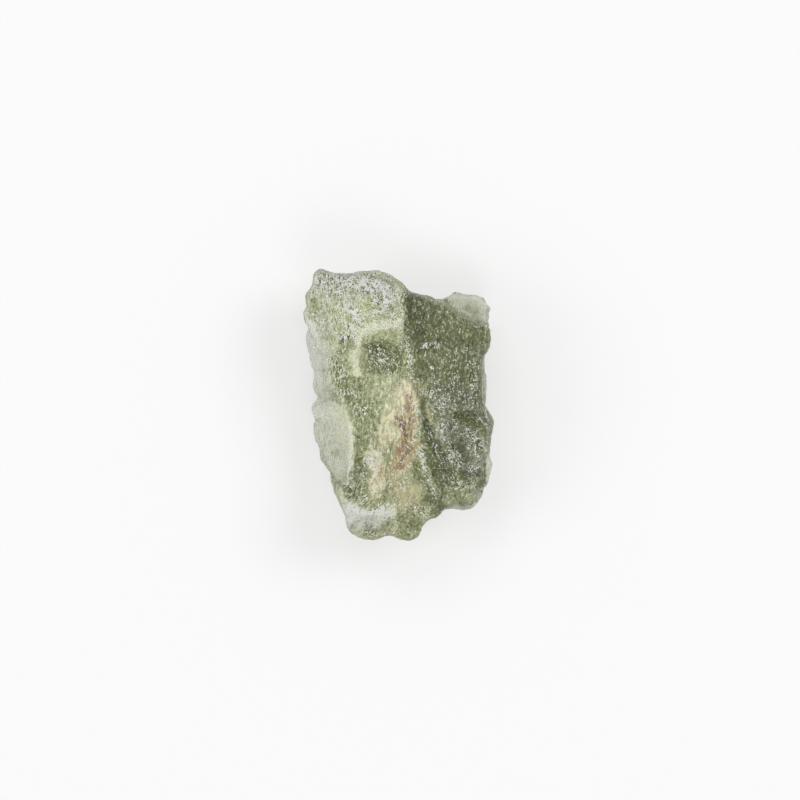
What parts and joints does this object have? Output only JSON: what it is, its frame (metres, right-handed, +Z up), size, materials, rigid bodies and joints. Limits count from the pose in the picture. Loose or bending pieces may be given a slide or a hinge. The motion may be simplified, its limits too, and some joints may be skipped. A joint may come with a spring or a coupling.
{
  "type": "moldavite",
  "caption": "Raw natural chip of green impact glass, etched and scalloped all over, that lies on a small flat spot.",
  "frame": {"origin": "centre of the stone's outline from above, at the level of the flat spot it rests on", "axes": "+Y along the stone's length, towards the end with the peak at its left; +Z up through its thickness"},
  "size_m": [0.0112, 0.016, 0.0072],
  "materials": {
    "moldavite glass": "translucent olive-green natural glass, etched to a frosted sparkle, with rusty and beige clay staining the valley of its upper face"
  },
  "bodies": {
    "root": {"moldavite": "moldavite glass"}
  },
  "joints": []
}
